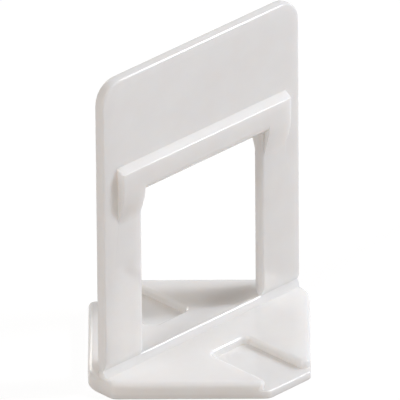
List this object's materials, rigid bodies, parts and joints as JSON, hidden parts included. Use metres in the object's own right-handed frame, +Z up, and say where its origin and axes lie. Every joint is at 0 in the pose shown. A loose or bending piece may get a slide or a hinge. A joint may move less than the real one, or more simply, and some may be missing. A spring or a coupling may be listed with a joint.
{
  "type": "tile levelling clip",
  "caption": "One-piece white plastic tile levelling clip: thin upright panel with a wedge window and ledged lintel, on a flat notched base with a snap-off neck.",
  "frame": {"origin": "middle of the underside of the base", "axes": "+Z up along the panel, +X along the panel's width, +Y through its thickness"},
  "size_m": [0.0348, 0.032, 0.043],
  "materials": {
    "moulded_plastic": "smooth moulded white polypropylene with a soft gloss"
  },
  "bodies": {
    "root": {"clip": "moulded_plastic"}
  },
  "joints": []
}
